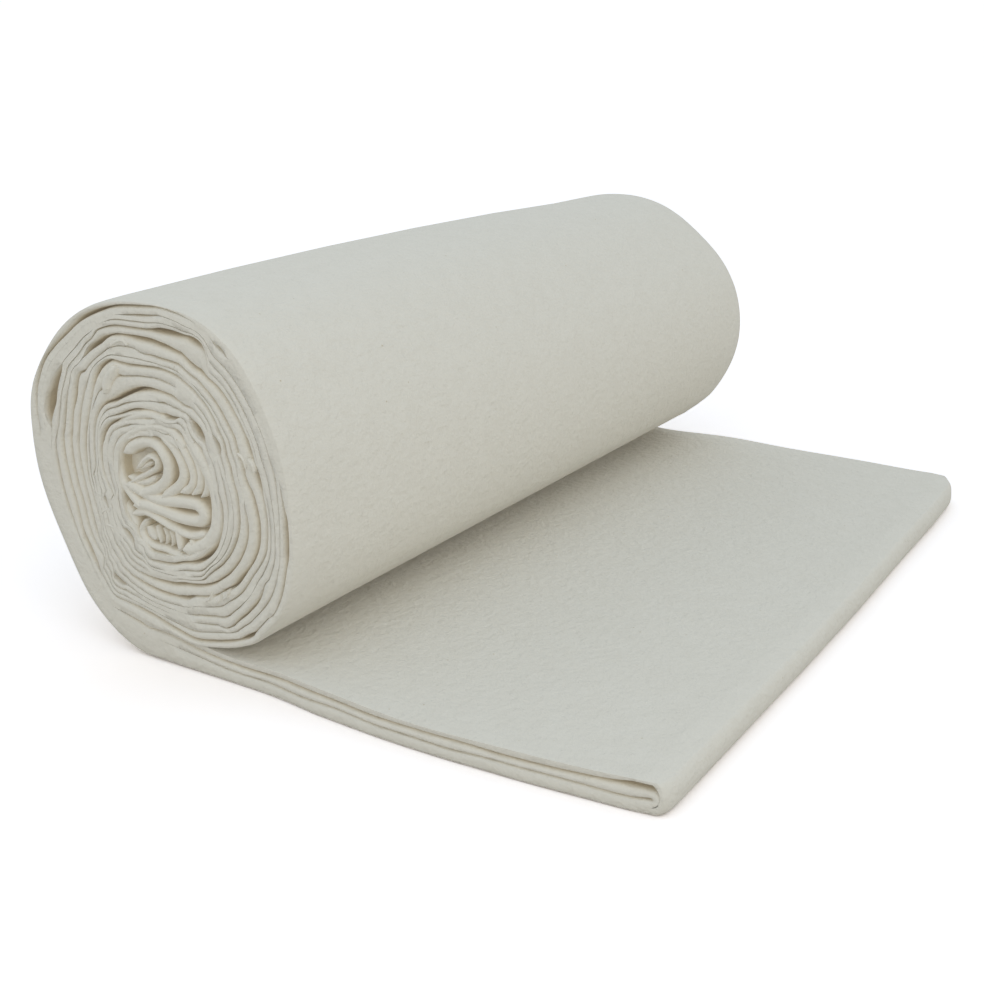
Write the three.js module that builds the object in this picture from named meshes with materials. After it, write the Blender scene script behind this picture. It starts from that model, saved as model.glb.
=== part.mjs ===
// A roll of quilt batting. One strip of felted cotton is folded back on itself into a pack of four layers, the pack
// is wound up from its inner end, and its last stretch is left lying flat, folded edge outwards.
// Millimetres, +Z up. The roll's axis runs along Y, and the loose end lies towards +X.

import * as THREE from 'three';

// the cloth
const rollLength = 457;      // 18 in, the width of the strip and so the length of the roll
const layerThickness = 3.3;  // one layer of batting, lying loose
const layerGap = 0.45;       // air between two layers of the loose end
const layerCount = 4;
const packThickness = layerCount * layerThickness + (layerCount - 1) * layerGap;

// the winding
const turnGap = 0.8;                         // air between two turns of the pack
const pitch = packThickness + turnGap;       // what each turn adds to the radius
const axisHeight = 96.8;                     // the roll's axis above the surface it rests on
const axisDrift = 11.4;                      // how far the axis wanders towards +X from end to end
const coreRadius = 19;                       // the start of the winding, pressed into a solid core
const meanReach = 96;                        // mean of the reach columns below
const stepsPerTurn = 44;
const rimInset = 1.6;                        // how far the rims of the two ends are rounded in

// the joint between the roll and its loose end
const rootX = -18;     // where the wrap leaves the surface, from the roll's axis
const seam = 0.3;      // clearance between the two bodies there

// Where the outermost turn lies: one row for each direction round the axis, in degrees from +X towards +Z, with the
// distance from the axis at the near (-Y) and the far (+Y) end. The narrowing of the winding is taken out of both.
const rollForm = [
  { angle: 0, near: 94.3, far: 104.4 },    // right side
  { angle: 30, near: 94.8, far: 98.6 },
  { angle: 60, near: 100.9, far: 91.2 },
  { angle: 90, near: 97.3, far: 88.3 },    // top
  { angle: 120, near: 98.2, far: 89.4 },
  { angle: 150, near: 98.2, far: 93.4 },
  { angle: 180, near: 87.5, far: 94.6 },   // left side
  { angle: 210, near: 84.0, far: 91.0 },   // drawn straight towards the loose end
  { angle: 240, near: 94.6, far: 94.0 },
  { angle: 255, near: 99.0, far: 98.6 },   // runs out along the surface
  { angle: 270, near: 96.8, far: 96.8 },   // under the axis
  { angle: 285, near: 99.5, far: 99.5 },
  { angle: 300, near: 105.9, far: 102.0 }, // sags out over the loose end
  { angle: 330, near: 103.8, far: 104.5 },
];

// The loose end in plan: how far its folded edge reaches from the roll's axis, from the near (-1) to the far (+1) edge.
const foldedEdge = [
  { across: -1.0, reach: 268 },
  { across: -0.95, reach: 274 },
  { across: -0.5, reach: 276 },
  { across: 0.0, reach: 277 },
  { across: 0.55, reach: 273 },
  { across: 0.92, reach: 268 },
  { across: 1.0, reach: 261 },
];

// The loose end along its length: half its width, and its thickness against the pack's.
const looseForm = [
  { x: rootX, halfWidth: 226, fullness: 1.0 },
  { x: 60, halfWidth: 225, fullness: 1.0 },
  { x: 100, halfWidth: 229, fullness: 1.02 },
  { x: 150, halfWidth: 231, fullness: 0.93 },
  { x: 205, halfWidth: 229, fullness: 1.0 },
  { x: 245, halfWidth: 226, fullness: 1.05 },
  { x: 277, halfWidth: 223, fullness: 1.14 },
];
const looseReach = 277;        // the table's length, before the folded edge's own line is applied
const pressedTo = 52;          // the layers are pressed together from the root to here, where the roll lifts off
const innerFoldSetback = 15;   // how far the inner fold stops short of the outer one
const looseStations = [-1, -0.985, -0.95, -0.75, -0.5, -0.25, 0, 0.25, 0.5, 0.75, 0.92, 0.985, 1];
const rollStations = [-1, -0.985, -0.7, -0.35, 0, 0.35, 0.7, 0.985, 1];

const degrees = Math.PI / 180;

// Smooth curve through the rows of a table: a cubic between each two rows, with slopes from their neighbours.
function smooth(rows, key, value, at, period = 0) {
  const count = rows.length;
  const row = (i) => {
    const turns = period ? Math.floor(i / count) : 0;
    const kept = period ? i - turns * count : Math.min(Math.max(i, 0), count - 1);
    return { place: rows[kept][key] + turns * period, size: rows[kept][value] };
  };
  const wanted = period ? at - Math.floor(at / period) * period : at;
  let i = 0;
  while (i < count - (period ? 1 : 2) && row(i + 1).place <= wanted) i += 1;
  const [before, from, to, after] = [row(i - 1), row(i), row(i + 1), row(i + 2)];
  const span = to.place - from.place;
  const t = Math.min(Math.max((wanted - from.place) / span, 0), 1);
  const slopeFrom = ((to.size - before.size) / (to.place - before.place || span)) * span;
  const slopeTo = ((after.size - from.size) / (after.place - from.place || span)) * span;
  const rise = to.size - from.size;
  return from.size + slopeFrom * t + (3 * rise - 2 * slopeFrom - slopeTo) * t * t
    + (slopeFrom + slopeTo - 2 * rise) * t * t * t;
}

// Turns of the winding, counted inwards from the point under the axis.
const windingTurns = (meanReach - coreRadius) / pitch;
const rootTurn = Math.atan2(-rootX, axisHeight) / (2 * Math.PI);

// Radius of the winding's outside at a number of turns inwards: the form fades to a circle towards the core.
function windingRadius(turns, across) {
  const angle = 270 - 360 * turns;
  const far = (across + 1) / 2;
  const form = (1 - far) * smooth(rollForm, 'angle', 'near', angle, 360) + far * smooth(rollForm, 'angle', 'far', angle, 360);
  const depth = Math.min(turns / windingTurns, 1);
  const rim = Math.abs(across) === 1 ? rimInset : 0;
  return meanReach + (form - meanReach) * (1 - depth) ** 0.8 - pitch * turns - rim;
}

// A point of the winding's section at a radius, kept above the floor or above the loose end that it stands on.
function windingPoint(turns, radius, floor) {
  const angle = (270 - 360 * turns) * degrees;
  return [radius * Math.cos(angle), Math.max(axisHeight + radius * Math.sin(angle), floor)];
}

// The section of the roll: the pack's outside from the root in to the core, and its inside from there out again. The
// slot between the turns ends at the core.
function rollSection(across) {
  const outside = [];
  const inside = [];
  const steps = Math.round((windingTurns - rootTurn) * stepsPerTurn);
  for (let i = 0; i <= steps; i += 1) {
    const turns = rootTurn + ((windingTurns - rootTurn) * i) / steps;
    const floor = turns < 0.7 ? 0 : packThickness + seam;
    outside.push(windingPoint(turns, windingRadius(turns, across), floor));
    if (turns <= windingTurns - 1) inside.push(windingPoint(turns, windingRadius(turns + 1, across) + turnGap, 0));
  }
  outside[0] = [rootX - seam / 2, 0];
  inside[0] = [rootX - seam / 2, inside[0][1]];
  const drift = (axisDrift * (across + 1)) / 2;
  return [[...outside, ...inside.reverse()].map(([x, z]) => [x + drift, z])];
}

// One side of a folded layer: out along the bottom, round the fold and back along the top, as a closed loop.
function foldLoop(startX, foldX, low, high) {
  const radius = (high - low) / 2;
  const stops = looseForm.map((row) => row.x).filter((x) => x > startX + 2 && x < foldX - radius - 2);
  const run = [startX, ...stops, foldX - radius];
  const bend = [-60, -30, 0, 30, 60].map((angle) => [
    foldX - radius + radius * Math.cos(angle * degrees),
    low + radius + radius * Math.sin(angle * degrees),
  ]);
  return [...run.map((x) => [x, low]), ...bend, ...run.reverse().map((x) => [x, high])];
}

// The section of the loose end: the outer fold, the slot between it and the inner fold, and the slot inside that.
function looseSection() {
  const outer = foldLoop(rootX + seam / 2, looseReach, 0, packThickness);
  const innerFoldX = looseReach - layerThickness - innerFoldSetback;
  const innerLow = layerThickness + layerGap;
  const innerHigh = packThickness - innerLow;
  const underside = foldLoop(pressedTo, looseReach - layerThickness, layerThickness, packThickness - layerThickness);
  const around = foldLoop(pressedTo + 8, innerFoldX, innerLow, innerHigh);
  const slot = [...underside, ...around.reverse()];
  const middle = foldLoop(pressedTo + 8, innerFoldX - layerThickness, innerLow + layerThickness, innerHigh - layerThickness);
  return [outer, slot, middle];
}

// Where a point of that section lies: drawn out to the folded edge's line, widened, and thickened.
function looseAt(x, z, across) {
  const share = (x - rootX) / (looseReach - rootX);
  const reach = smooth(foldedEdge, 'across', 'reach', across);
  const drift = ((axisDrift * (across + 1)) / 2) * Math.max(1 - share * 2, 0);
  const place = x + share ** 3 * (reach - looseReach) + drift;
  return [place, across * smooth(looseForm, 'x', 'halfWidth', x), z * smooth(looseForm, 'x', 'fullness', x)];
}

// A closed body through sections along Y. Each section holds an outline and, after it, any slots that run right through.
function loft(stations, loopsAt, placeAt) {
  const sections = stations.map((across) => loopsAt(across).map(turned));
  const size = sections[0].flat().length;
  const points = sections.flatMap((loops, k) => loops.flat().map(([x, z]) => placeAt(x, z, stations[k])));
  const faces = [...capOf(sections[0])];
  for (let k = 0; k < sections.length - 1; k += 1) {
    let start = k * size;
    sections[k].forEach((loop) => {
      loop.forEach((_point, i) => {
        const [a, b] = [start + i, start + ((i + 1) % loop.length)];
        faces.push([a, a + size, b], [b, a + size, b + size]);
      });
      start += loop.length;
    });
  }
  const last = (sections.length - 1) * size;
  faces.push(...capOf(sections.at(-1)).map(([a, b, c]) => [last + a, last + c, last + b]));
  const geometry = new THREE.BufferGeometry();
  geometry.setAttribute('position', new THREE.Float32BufferAttribute(points.flat(), 3));
  geometry.setIndex(faces.flat());
  geometry.computeVertexNormals();
  return geometry;
}

// A loop turned the way its place asks: the outline against the clock, seen from the near end, and slots with it.
function turned(loop, place) {
  const area = THREE.ShapeUtils.area(loop.map(([x, z]) => new THREE.Vector2(x, z)));
  return area > 0 === (place === 0) ? loop : [...loop].reverse();
}

// The triangles of one end face, all turned against the clock, with the slots left open.
function capOf(loops) {
  const [outline, ...slots] = loops.map((loop) => loop.map(([x, z]) => new THREE.Vector2(x, z)));
  const corners = loops.flat();
  return THREE.ShapeUtils.triangulateShape(outline, slots).map(([a, b, c]) => {
    const [p, q, r] = [corners[a], corners[b], corners[c]];
    const area = (q[0] - p[0]) * (r[1] - p[1]) - (r[0] - p[0]) * (q[1] - p[1]);
    return area > 0 ? [a, b, c] : [a, c, b];
  });
}

function named(name, geometry, color) {
  const mesh = new THREE.Mesh(geometry, new THREE.MeshStandardMaterial({ color, roughness: 0.96, metalness: 0 }));
  mesh.name = name;
  return mesh;
}

function woundRoll() {
  const halfLength = rollLength / 2;
  return named('wound_roll', loft(rollStations, rollSection, (x, z, across) => [x, across * halfLength, z]), 0xd8d5c8);
}

function looseEnd() {
  return named('loose_end', loft(looseStations, looseSection, looseAt), 0xdedbcf);
}

// The part's origin is on the surface, under the middle of its box.
const roll = new THREE.Group();
roll.add(woundRoll(), looseEnd());
const box = new THREE.Box3().setFromObject(roll);
roll.position.set(-(box.min.x + box.max.x) / 2, -(box.min.y + box.max.y) / 2, -box.min.z);

export default roll;
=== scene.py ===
import math

import bpy
import numpy as np
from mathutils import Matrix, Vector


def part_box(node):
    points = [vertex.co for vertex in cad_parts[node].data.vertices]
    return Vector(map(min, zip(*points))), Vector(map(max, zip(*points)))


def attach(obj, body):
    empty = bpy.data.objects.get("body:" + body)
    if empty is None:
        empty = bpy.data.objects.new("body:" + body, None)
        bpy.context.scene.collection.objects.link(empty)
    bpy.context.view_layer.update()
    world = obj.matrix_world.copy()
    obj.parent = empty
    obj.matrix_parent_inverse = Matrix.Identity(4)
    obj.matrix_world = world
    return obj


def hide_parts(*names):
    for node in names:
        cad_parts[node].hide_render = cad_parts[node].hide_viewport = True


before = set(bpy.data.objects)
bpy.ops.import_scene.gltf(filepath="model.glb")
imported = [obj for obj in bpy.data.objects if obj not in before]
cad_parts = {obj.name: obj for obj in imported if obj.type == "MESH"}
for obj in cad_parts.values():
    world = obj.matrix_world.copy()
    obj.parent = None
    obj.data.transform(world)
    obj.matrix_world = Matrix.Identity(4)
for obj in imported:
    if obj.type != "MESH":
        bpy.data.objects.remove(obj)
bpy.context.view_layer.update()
mm = 0.001

rollLow, rollHigh = [np.array(corner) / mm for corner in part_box("wound_roll")]
looseLow = np.array(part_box("loose_end")[0]) / mm

# Shapes are worked out in millimetres from the roll's axis at its near end, with x across the roll and z up
# from the floor. Along the roll, across goes from -1 at the near end to 1 at the far end.
layerCount = 4
winding = {
    "packThickness": 14.55,  # the four layers together
    "pitch": 15.4,  # what each turn takes off the radius
    "meanReach": 96.0,
    "coreTurns": 5.0,  # turns inward to where the winding is round
    "roundness": 0.8,  # how soon it gets there
    "axisHeight": 96.8,
    "axisDrift": 11.4,  # sideways, from the near end to the far one
    "axisInset": 17.85,  # the axis, from the loose end's edge under the roll
    "rootX": -18.0,  # where the loose end leaves the roll
    "reach": 277.0,  # where the loose end's table ends
    "pressed": 0.17,  # the share of its thickness that the pack loses under the roll
    "pressedTo": 52.0,
    "pressedFade": (25.0, 60.0),
    "floorTurns": 0.7,  # turns that may lie on the floor, those further in lie on the pack
    "floorGap": 0.2,
    "clothLength": 1585.0,  # of the pack in clothTurns turns
    "clothTurns": 3.5,
}
rollHalf = (rollHigh[1] - rollLow[1]) / 2  # of its length
axisX = looseLow[0] + winding["axisInset"]
rootTurn = math.atan2(-winding["rootX"], winding["axisHeight"]) / (2 * math.pi)

# the outer turn's distance from the axis at each angle from +x towards +z, at the near and the far end
rollForm = {
    "angle": [0, 30, 60, 90, 120, 150, 180, 210, 240, 255, 270, 285, 300, 330],
    "near": [94.3, 94.8, 100.9, 97.3, 98.2, 98.2, 87.5, 84.0, 94.6, 99.0, 96.8, 99.5, 105.9, 103.8],
    "far": [104.4, 98.6, 91.2, 88.3, 89.4, 93.4, 94.6, 91.0, 94.0, 98.6, 96.8, 99.5, 102.0, 104.5],
}

# swellings and hollows of the outer turns: millimetres round an angle, and the stretch of the roll each is on
swellings = [
    {"angle": 118, "width": 26, "proud": 3.8, "stretch": "behindRim"},
    {"angle": 92, "width": 30, "proud": 1.4, "stretch": "middle"},
    {"angle": 187, "width": 27, "proud": 2.2, "stretch": "near"},
    {"angle": 144, "width": 14, "proud": -3.2, "stretch": "near"},
    {"angle": 28, "width": 70, "proud": 2.6, "stretch": "far"},
    {"angle": 42, "width": 16, "proud": -2.6, "stretch": "far"},
]

# how far the folded edge reaches from the axis, from the near to the far end
foldedEdge = {
    "across": [-1.0, -0.985, -0.94, -0.5, 0.0, 0.5, 0.93, 1.0],
    "reach": [272.5, 274.3, 275, 274, 272.5, 268.5, 265, 258],
}

# the loose end's half width and fullness (its thickness against the pack's) along its length
looseForm = {
    "x": [-18, 60, 100, 150, 205, 245, 277],
    "halfWidth": [227, 227, 231, 233, 231, 228, 225],
    "fullness": [1.0, 1.0, 1.02, 0.93, 1.0, 1.05, 1.14],
}


# a smooth value between a table's places: a cubic through each value with the slope of its neighbours
def smooth(table, key, value, at, period=None):
    at = np.asarray(at, float)
    places = np.array(table[key], float)
    values = np.array(table[value], float)
    if period:
        at = np.mod(at, period)
        places = np.concatenate([places[-2:] - period, places, places[:2] + period])
        values = np.concatenate([values[-2:], values, values[:2]])
    at = np.clip(at, places[0], places[-1])
    slopes = np.gradient(values) / np.gradient(places)
    i = np.clip(np.searchsorted(places, at, side="right") - 1, 0, len(places) - 2)
    span = places[i + 1] - places[i]
    t = (at - places[i]) / span
    rise = values[i + 1] - values[i]
    leaving = slopes[i] * span
    arriving = slopes[i + 1] * span
    bend = (3 * rise - 2 * leaving - arriving) * t**2
    return values[i] + leaving * t + bend + (leaving + arriving - 2 * rise) * t**3


# an even start and stop between 0 and 1: three times the square less twice the cube
def easeInOut(share):
    share = np.clip(share, 0, 1)
    return share * share * (3 - 2 * share)


# a bell, 1 in the middle: e to the minus square of the distance over the width
def bell(distance, width):
    return np.exp(-((distance / width) ** 2))


# a slow wander between about -1 and 1: three octaves of three sines of unlike lengths, fixed by the seed
def wander(at, seed, length):
    finer, fainter = 1.9, 1.7  # from each octave to the next
    dice = np.random.default_rng(seed)
    total = np.zeros(np.shape(at))
    for octave in range(3):
        rates = dice.uniform(0.7, 1.4, 3) * 2 * math.pi / length * finer**octave
        shifts = dice.uniform(0, 2 * math.pi, 3)
        for rate, shift in zip(rates, shifts):
            total = total + np.sin(at * rate + shift) / 3 / fainter**octave
    return total


# extra fullness in millimetres: a bell round each row's angle, times how strong the row's stretch is there
def fullness(angle, across):
    stretches = {
        "behindRim": np.sin(math.pi * np.clip((across + 1) / 1.75, 0, 1)) ** 0.7,
        "middle": np.sin(math.pi * np.clip((across + 1) / 2.1, 0, 1)) ** 0.7,
        "near": np.clip((0.2 - across) / 1.2, 0, 1),
        "far": np.clip((across + 0.6) / 1.6, 0, 1),
    }
    total = 0.0
    for row in swellings:
        away = (angle - row["angle"] + 180.0) % 360 - 180.0
        total = total + row["proud"] * bell(away, row["width"]) * stretches[row["stretch"]]
    return total


# the winding's outer radius after that many turns inward from straight below the axis,
# which loses a pitch each turn and its uneven form with depth
def windingRadius(turns, across):
    angle = 270.0 - 360.0 * turns
    far = (across + 1) / 2
    nearForm = smooth(rollForm, "angle", "near", angle, 360)
    farForm = smooth(rollForm, "angle", "far", angle, 360)
    form = nearForm * (1 - far) + farForm * far + fullness(angle, across)
    depth = np.clip(turns / winding["coreTurns"], 0, 1)
    uneven = (form - winding["meanReach"]) * (1 - depth) ** winding["roundness"]
    return winding["meanReach"] + uneven - winding["pitch"] * turns


# The cloth is folded in four layers before it is wound. Layer 0 is the outermost in the roll and the
# lowest in the loose end. Face k lies between layer k - 1 and layer k.
layers = {
    "share": [0.0, 0.23, 0.48, 0.76, 1.0],  # each face's depth in the pack, in the roll
    "looseShare": [0.0, 0.20, 0.44, 0.72, 1.0],  # and in the loose end
    "shareWander": 0.035,
    "shareEase": 0.12,  # turns from the root over which one becomes the other
    "thinnest": 0.8,
    "gapClosed": -0.06,  # between two layers' faces, where they lie flush and where they stand open
    "gapOpen": 0.30,
    "openLeast": 0.02,  # least rounding of the cut edges in the outermost turn
    "openInside": 0.19,  # and what is added to it inside
    "openWander": 0.19,
    "insideFrom": 0.95,
    "insideOver": 0.2,
    "still": 0.10,  # weight of staying in place against the seams' pulls
    "seamNear": 0.12,  # keeps a seam's weight finite on its own face
    "seamFade": 0.035,  # turns over which a seam dies away at its ends
    "openOutward": 0.4,  # the share of an opening that goes outwards
    "openSpread": 2.5,  # layers over which an opening's push dies away
    "freeFrom": 0.75,  # turns from which the outermost face may move
    "freeOver": 0.2,
    "telescope": 0.5,  # how far the cut edges stand in and out
    "telescopeOwn": 0.15,
    "telescopeLength": 240.0,
    "telescopeOver": 0.3,
    "flareDepth": 6.5,  # how deep an opening goes, and how much deeper for each millimetre that it is wide
    "pocketDepth": 4.5,
    "rimDrop": 0.35,
    "rimDepth": 3.2,
    "rimOpenness": 0.35,
    "widthEase": 0.08,  # turns from the root over which the loose end's width becomes the roll's
    "ends": [3.625, 3.60, 3.56, 3.60],  # the turn each layer ends at
    "station": 3.0,  # cloth from one row of points to the next
}

# how round a seam's cut edges are against how far it stands open: more as it opens, less again where it gapes
cutEdges = {
    "closed": 0.45,
    "opening": 1.6,
    "most": 0.9,
    "gapingLoss": 0.3,
    "gapingFrom": 1.2,
    "gapingOver": 1.2,
}

# Seams between layers that show on the near end: the whole turn and the face each one is, how far it stands
# open, where it opens wider as (x, z, how far, half length), and the points it passes through. Openings are
# in millimetres, and places and lengths in seamUnit, from the floor below the axis.
seamUnit = 88.0
seams = [
    # over the top, from the outside in
    {"turn": 0, "face": 1, "open": 0.5, "wider": [(-0.42, 2.0, 0.7, 0.12)], "route": [
        (-0.895, 1.22), (-0.905, 1.38), (-0.885, 1.53), (-0.83, 1.665), (-0.75, 1.765), (-0.66, 1.84),
        (-0.58, 1.9), (-0.5, 1.96), (-0.42, 2.0), (-0.3, 2.045), (-0.2, 2.07), (-0.1, 2.082), (0.0, 2.092),
        (0.1, 2.098), (0.2, 2.087), (0.3, 2.068), (0.37, 2.04),
    ]},
    {"turn": 0, "face": 2, "open": 0.2, "route": [
        (-0.22, 2.018), (-0.12, 2.03), (0.0, 2.04), (0.16, 2.055),
    ]},
    {"turn": 1, "face": 0, "open": 0.25, "wider": [
        (0.15, 1.976, 2.4, 0.1), (0.36, 1.962, 3.2, 0.07),
    ], "route": [
        (-0.44, 1.91), (-0.36, 1.935), (-0.24, 1.96), (-0.1, 1.962), (0.0, 1.965), (0.07, 1.972),
        (0.16, 1.978), (0.27, 1.975), (0.36, 1.965), (0.43, 1.95), (0.5, 1.92),
    ]},
    {"turn": 0, "face": 1, "open": 1.4, "route": [(0.46, 1.965), (0.51, 1.94), (0.57, 1.9)]},
    {"turn": 1, "face": 1, "open": 0.5, "wider": [
        (-0.42, 1.83, 1.8, 0.1), (0.02, 1.91, 1.2, 0.14), (0.665, 1.43, 1.4, 0.05),
        (0.722, 1.27, 2.6, 0.06),
    ], "route": [
        (-0.5, 1.74), (-0.46, 1.795), (-0.38, 1.849), (-0.32, 1.884), (-0.24, 1.908), (-0.1, 1.911),
        (0.0, 1.911), (0.1, 1.906), (0.2, 1.874), (0.3, 1.822), (0.4, 1.768), (0.5, 1.705), (0.58, 1.61),
        (0.64, 1.51), (0.685, 1.4), (0.72, 1.29), (0.75, 1.17), (0.77, 1.06), (0.77, 0.96), (0.75, 0.86),
        (0.71, 0.78), (0.655, 0.705),
    ]},
    {"turn": 1, "face": 2, "open": 0.25, "wider": [
        (0.715, 0.98, 0.6, 0.25), (0.52, 0.61, 1.2, 0.12),
    ], "route": [
        (-0.1, 1.81), (0.0, 1.828), (0.1, 1.824), (0.22, 1.8), (0.33, 1.745), (0.42, 1.66), (0.5, 1.56),
        (0.56, 1.46), (0.605, 1.35), (0.64, 1.24), (0.675, 1.13), (0.7, 1.03), (0.7, 0.93), (0.675, 0.84),
        (0.63, 0.755), (0.57, 0.685), (0.5, 0.6), (0.44, 0.555),
    ]},
    {"turn": 2, "face": 0, "open": 0.35, "wider": [
        (-0.545, 1.25, 0.6, 0.15), (-0.4, 1.7, 0.5, 0.1),
    ], "route": [
        (-0.43, 0.74), (-0.47, 0.82), (-0.5, 0.91), (-0.53, 1.01), (-0.548, 1.12), (-0.548, 1.22),
        (-0.535, 1.32), (-0.5, 1.41), (-0.465, 1.52), (-0.435, 1.63), (-0.4, 1.7), (-0.36, 1.738),
        (-0.3, 1.763), (-0.22, 1.755), (-0.15, 1.75), (-0.07, 1.758), (0.0, 1.766), (0.07, 1.773),
        (0.13, 1.765), (0.2, 1.743), (0.3, 1.693), (0.37, 1.63), (0.44, 1.535), (0.49, 1.43), (0.525, 1.32),
        (0.55, 1.23), (0.572, 1.11), (0.57, 0.99), (0.545, 0.9), (0.5, 0.815), (0.44, 0.735), (0.37, 0.675),
        (0.28, 0.62),
    ]},
    {"turn": 2, "face": 1, "open": 0.8, "route": [
        (-0.37, 1.56), (-0.33, 1.62), (-0.27, 1.68), (-0.215, 1.71),
    ]},
    {"turn": 2, "face": 2, "open": 0.4, "wider": [(-0.18, 1.59, 1.3, 0.16)], "route": [
        (-0.46, 1.08), (-0.475, 1.2), (-0.47, 1.31), (-0.44, 1.42), (-0.38, 1.495), (-0.3, 1.53),
        (-0.2, 1.58), (-0.1, 1.622), (0.0, 1.637), (0.1, 1.63), (0.2, 1.6), (0.27, 1.56),
    ]},
    {"turn": 2, "face": 3, "open": 0.2, "route": [(0.02, 1.578), (0.09, 1.583), (0.16, 1.575)]},
    {"turn": 3, "face": 0, "open": 0.4, "wider": [(0.14, 1.5, 1.4, 0.06)], "route": [
        (-0.34, 1.42), (-0.27, 1.455), (-0.19, 1.492), (-0.1, 1.512), (0.0, 1.51), (0.1, 1.502),
        (0.19, 1.5),
    ]},
    {"turn": 3, "face": 1, "open": 0.6, "wider": [(-0.41, 1.3, 0.6, 0.1)], "route": [
        (-0.32, 0.96), (-0.38, 1.03), (-0.41, 1.1), (-0.425, 1.2), (-0.42, 1.27), (-0.4, 1.33),
        (-0.36, 1.38), (-0.29, 1.42), (-0.2, 1.455), (-0.1, 1.472), (0.02, 1.472),
    ]},
    {"turn": 2, "face": 3, "open": 5.0, "route": [(0.27, 1.52), (0.33, 1.465), (0.372, 1.41)]},
    {"turn": 2, "face": 1, "open": 2.6, "route": [(0.445, 1.46), (0.472, 1.41), (0.49, 1.36)]},
    # down the right
    {"turn": 0, "face": 1, "open": 0.2, "wider": [(0.892, 0.97, 1.6, 0.12)], "route": [
        (0.86, 1.3), (0.88, 1.18), (0.89, 1.07), (0.892, 0.97), (0.885, 0.87), (0.865, 0.74), (0.82, 0.58),
        (0.76, 0.46),
    ]},
    {"turn": 1, "face": 3, "open": 0.3, "wider": [(0.1, 0.53, 0.5, 0.2)], "route": [
        (0.6, 1.13), (0.628, 1.03), (0.625, 0.94), (0.6, 0.86), (0.555, 0.775), (0.5, 0.7), (0.42, 0.63),
        (0.3, 0.57), (0.2, 0.545), (0.1, 0.528), (0.0, 0.52), (-0.1, 0.522), (-0.2, 0.54), (-0.28, 0.575),
    ]},
    {"turn": 2, "face": 3, "open": 0.35, "wider": [(0.33, 0.745, 1.4, 0.12)], "route": [
        (0.43, 1.17), (0.455, 1.09), (0.46, 1.01), (0.445, 0.92), (0.405, 0.83), (0.33, 0.745),
        (0.24, 0.69), (0.16, 0.672), (0.08, 0.645), (-0.03, 0.635), (-0.15, 0.64),
    ]},
    {"turn": 0, "face": 3, "open": 0.4, "route": [
        (0.735, 0.72), (0.71, 0.63), (0.66, 0.55), (0.6, 0.485), (0.54, 0.42), (0.47, 0.355), (0.4, 0.31),
    ]},
    # along the bottom
    {"turn": 1, "face": 2, "open": 0.5, "wider": [(0.16, 0.455, 1.2, 0.05)], "route": [
        (0.22, 0.47), (0.15, 0.452), (0.05, 0.445), (-0.1, 0.455), (-0.22, 0.49), (-0.32, 0.535),
    ]},
    {"turn": 0, "face": 1, "open": 0.5, "wider": [
        (0.595, 0.333, 1.6, 0.05), (-0.05, 0.27, 0.3, 0.2),
    ], "route": [
        (0.66, 0.375), (0.6, 0.335), (0.5, 0.285), (0.35, 0.24), (0.2, 0.215), (0.05, 0.243), (-0.1, 0.285),
        (-0.25, 0.317), (-0.42, 0.35),
    ]},
    {"turn": 0, "face": 3, "open": 0.2, "route": [
        (-0.05, 0.165), (-0.15, 0.185), (-0.3, 0.225), (-0.45, 0.275),
    ]},
    # up the left
    {"turn": 0, "face": 3, "open": 4.6, "wider": [(-0.825, 1.42, 2.4, 0.1)], "route": [
        (-0.85, 1.3), (-0.828, 1.4), (-0.785, 1.5), (-0.73, 1.6), (-0.66, 1.68),
    ]},
    {"turn": 1, "face": 0, "open": 0.15, "route": [
        (-0.6, 0.56), (-0.68, 0.7), (-0.74, 0.84), (-0.78, 1.0), (-0.795, 1.15), (-0.79, 1.28),
    ]},
    {"turn": 1, "face": 1, "open": 0.5, "wider": [(-0.57, 0.57, 0.9, 0.12)], "route": [
        (-0.49, 0.44), (-0.54, 0.51), (-0.58, 0.58), (-0.63, 0.67), (-0.65, 0.77), (-0.67, 0.88),
        (-0.7, 0.99), (-0.72, 1.08), (-0.735, 1.2), (-0.73, 1.3), (-0.71, 1.41), (-0.67, 1.51),
        (-0.63, 1.6),
    ]},
    {"turn": 1, "face": 2, "open": 0.45, "wider": [(-0.58, 1.58, 0.8, 0.12)], "route": [
        (-0.42, 0.58), (-0.5, 0.61), (-0.55, 0.67), (-0.58, 0.76), (-0.6, 0.87), (-0.635, 0.96),
        (-0.658, 1.08), (-0.665, 1.2), (-0.66, 1.31), (-0.645, 1.41), (-0.605, 1.53), (-0.56, 1.64),
        (-0.52, 1.7),
    ]},
    {"turn": 1, "face": 3, "open": 0.25, "route": [
        (-0.43, 0.62), (-0.49, 0.67), (-0.53, 0.76), (-0.555, 0.88), (-0.58, 1.0), (-0.6, 1.13),
        (-0.605, 1.26), (-0.59, 1.36), (-0.56, 1.46), (-0.53, 1.54),
    ]},
    {"turn": 3, "face": 0, "open": 1.2, "route": [(-0.39, 0.87), (-0.42, 0.925), (-0.46, 0.97)]},
    {"turn": 3, "face": 2, "open": 3.0, "route": [(-0.2, 0.71), (-0.25, 0.755), (-0.29, 0.8)]},
    {"turn": 2, "face": 0, "open": 2.8, "route": [(-0.31, 0.42), (-0.37, 0.45), (-0.43, 0.485)]},
]


# a point's turn within its revolution, from straight below, and its distance from the axis
def turnAndRadius(points):
    route = np.atleast_2d(np.array(points, float)) * seamUnit - [0.0, winding["axisHeight"]]
    angle = np.degrees(np.unwrap(np.arctan2(route[:, 1], route[:, 0])))
    return (270.0 - angle) / 360, np.hypot(route[:, 0], route[:, 1])


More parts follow.
